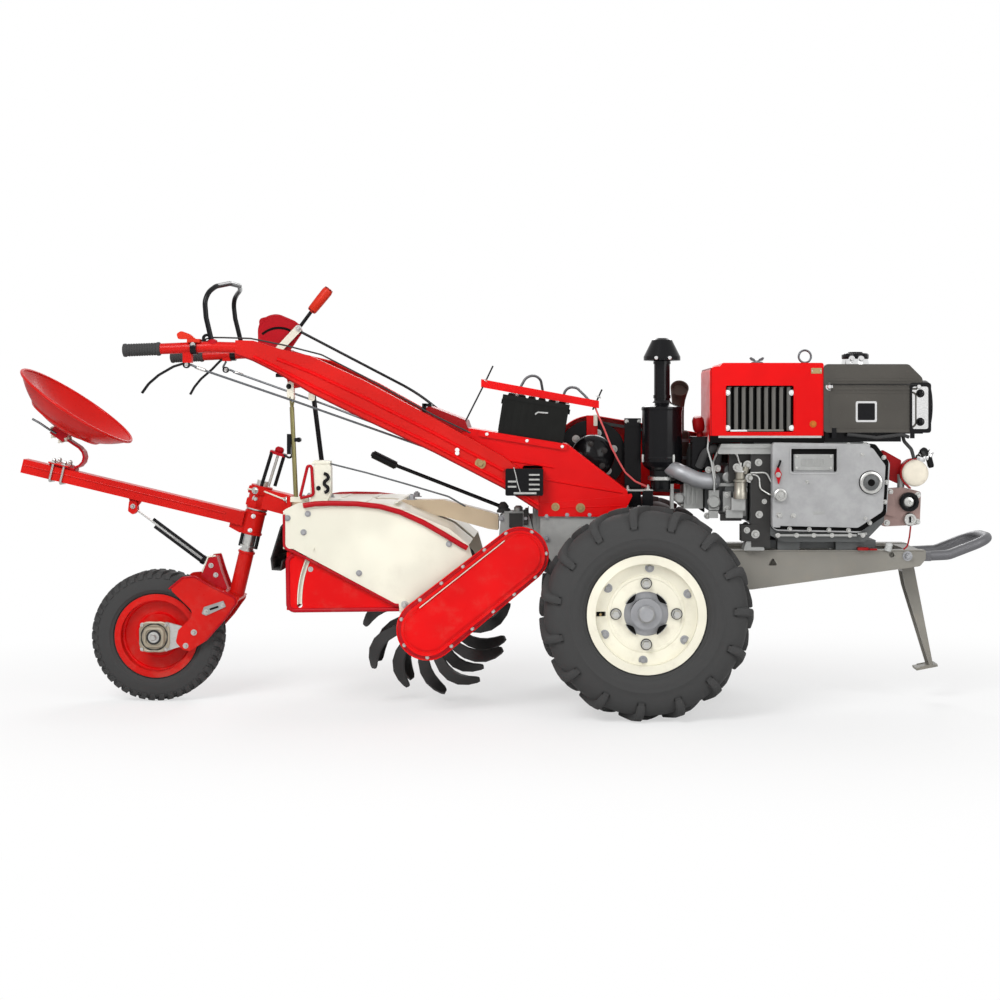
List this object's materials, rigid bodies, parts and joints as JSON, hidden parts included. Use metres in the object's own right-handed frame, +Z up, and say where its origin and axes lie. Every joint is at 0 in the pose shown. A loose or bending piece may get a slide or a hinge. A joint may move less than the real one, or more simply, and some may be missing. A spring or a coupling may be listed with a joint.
{
  "type": "power tiller",
  "caption": "Two-wheel walking tractor with a diesel engine, chain-driven rotary tiller, swept handlebar and a riding seat over a steered tail wheel.",
  "frame": {"origin": "on the ground, below the middle of the whole machine's length and width", "axes": "+X forward towards the bumper, +Y to the machine's left, +Z up"},
  "size_m": [3.0765, 0.82, 1.3294],
  "materials": {
    "tyre_rubber": "matt black rubber, dusty",
    "main_rim": "gloss cream paint",
    "rim_paint": "gloss red paint",
    "hub_iron": "plain cast iron with zinc bolts",
    "case_grey": "satin grey casting paint",
    "rail_grey": "satin warm grey paint",
    "bumper_grey": "satin dark grey paint",
    "engine_grey": "satin grey-green casting paint",
    "engine_black": "gloss black paint",
    "muffler_black": "heat-dulled black paint",
    "cowl_red": "gloss red paint",
    "core_alloy": "light alloy core with satin slats",
    "tank_dark": "metallic dark grey paint",
    "lamp_chrome": "bright bowl",
    "filter_metal": "plain castings",
    "flywheel_iron": "machined iron",
    "belt_rubber": "plain belt rubber",
    "console_red": "gloss red paint",
    "battery_plastic": "black case",
    "clamp_red": "gloss red paint",
    "handle_red": "gloss red paint",
    "grip_rubber": "ribbed black rubber",
    "hoop_black": "satin black paint",
    "lever_black": "satin black paint",
    "throttle_plastic": "orange-red",
    "tiller_cream": "gloss cream paint",
    "rim_red": "gloss red paint",
    "flap_rubber": "matt sheet rubber",
    "tine_steel": "blackened forged steel",
    "tail_red": "gloss red paint",
    "screw_black": "black oxide with a red clamp",
    "carrier_steel": "zinc plate",
    "post_steel": "bare ground steel",
    "strut_black": "satin black paint",
    "spring_black": "satin black paint",
    "seat_red": "gloss red paint"
  },
  "bodies": {
    "chassis": {"transmission_case": "case_grey", "frame_rails": "rail_grey", "frame_cross_members": "rail_grey", "front_bumper": "bumper_grey", "engine_block": "engine_grey", "gear_cover": "engine_grey", "cylinder_head": "engine_grey", "air_cleaner": "engine_black", "exhaust_muffler": "muffler_black", "radiator_cowl": "cowl_red", "radiator_core": "core_alloy", "fuel_tank": "tank_dark", "headlamp": "lamp_chrome", "fuel_filter": "filter_metal", "flywheel": "flywheel_iron", "clutch_pulley": "flywheel_iron", "drive_belts": "belt_rubber", "belt_guard": "cowl_red", "gearbox_console": "console_red", "battery": "battery_plastic", "battery_clamp": "clamp_red", "battery_rods": "hoop_black", "handlebar_frame": "handle_red", "hand_grips": "grip_rubber", "guard_hoop": "hoop_black", "steering_controls": "lever_black", "throttle_lever": "throttle_plastic", "clutch_quadrant": "hoop_black", "clutch_lever": "lever_black", "tiller_gearcase": "case_grey", "tiller_beam": "tiller_cream", "chain_case": "rim_red", "rotor_arm": "rim_red", "tiller_hood": "tiller_cream", "hood_rim": "rim_red", "rear_flap": "flap_rubber", "handle_stays": "lever_black", "tiller_shift_lever": "lever_black", "tail_bracket": "tail_red", "height_screw": "screw_black"},
    "left_wheel": {"left_wheel_tyre": "tyre_rubber", "left_wheel_rim": "main_rim", "left_wheel_hub": "hub_iron"},
    "right_wheel": {"right_wheel_tyre": "tyre_rubber", "right_wheel_rim": "main_rim", "right_wheel_hub": "hub_iron"},
    "stand": {"front_stand": "rail_grey"},
    "rotor": {"tiller_rotor": "tine_steel"},
    "curtain": {"apron": "rim_red"},
    "sulky": {"tail_post": "post_steel", "tail_fork": "tail_red", "tail_axle": "carrier_steel", "seat_beam": "tail_red", "seat_strut": "strut_black", "seat_spring": "spring_black", "seat_pan": "seat_red"},
    "tail_wheel": {"tail_tyre": "tyre_rubber", "tail_rim": "rim_paint"}
  },
  "joints": [
    {"name": "left_wheel_spin", "type": "hinge", "parent": "chassis", "child": "left_wheel", "pos_m": [0.433, 0.33, 0.318], "axis": [0, 1, 0], "continuous": true},
    {"name": "right_wheel_spin", "type": "hinge", "parent": "chassis", "child": "right_wheel", "pos_m": [0.433, -0.33, 0.318], "axis": [0, 1, 0], "continuous": true},
    {"name": "stand_swing", "type": "hinge", "parent": "chassis", "child": "stand", "pos_m": [1.277, 0, 0.436], "axis": [0, 1, 0], "range_deg": [0, 80]},
    {"name": "rotor_spin", "type": "hinge", "parent": "chassis", "child": "rotor", "pos_m": [-0.219, 0, 0.264], "axis": [0, 1, 0], "continuous": true},
    {"name": "apron_tilt", "type": "hinge", "parent": "chassis", "child": "curtain", "pos_m": [-0.291, 0, 0.345], "axis": [0, 1, 0], "range_deg": [0, 22]},
    {"name": "tail_steer", "type": "hinge", "parent": "chassis", "child": "sulky", "pos_m": [-0.78024, 0, 0.64], "axis": [0.23, 0, 0.9732], "range_deg": [-40, 40]},
    {"name": "tail_wheel_spin", "type": "hinge", "parent": "sulky", "child": "tail_wheel", "pos_m": [-1.09853, 0, 0.207], "axis": [0, 1, 0], "continuous": true}
  ]
}
